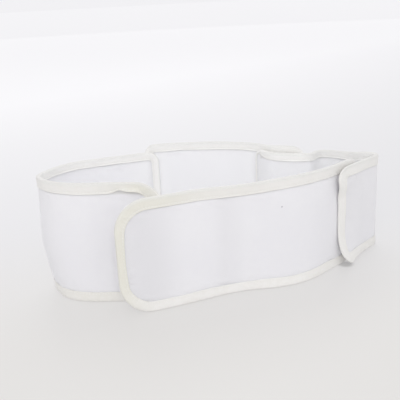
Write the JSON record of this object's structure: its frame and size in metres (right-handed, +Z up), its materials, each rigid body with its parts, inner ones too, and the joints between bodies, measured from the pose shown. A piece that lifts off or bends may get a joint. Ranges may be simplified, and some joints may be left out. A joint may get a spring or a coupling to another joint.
{
  "type": "weightlifting belt",
  "caption": "Soft padded fabric waist belt of round-cornered panels with bound edges, overlapped into a closed loop that stands on its lower edge, for bracing the waist.",
  "frame": {"origin": "on the surface the belt stands on, under the middle of its bounding box", "axes": "+X along the loop from the turn at the left to the folded end at the right, -Y towards the outer face of the front panel, +Z up"},
  "size_m": [0.3576, 0.1544, 0.126],
  "materials": {
    "belt_fabric": "matte white brushed knit over thin padding",
    "binding_tape": "matte cream woven bias tape"
  },
  "bodies": {
    "root": {"front_panel": "belt_fabric", "front_binding": "binding_tape", "right_strap": "belt_fabric", "right_binding": "binding_tape", "back_panel": "belt_fabric", "back_binding": "binding_tape", "left_strap": "belt_fabric", "left_binding": "binding_tape"}
  },
  "joints": []
}
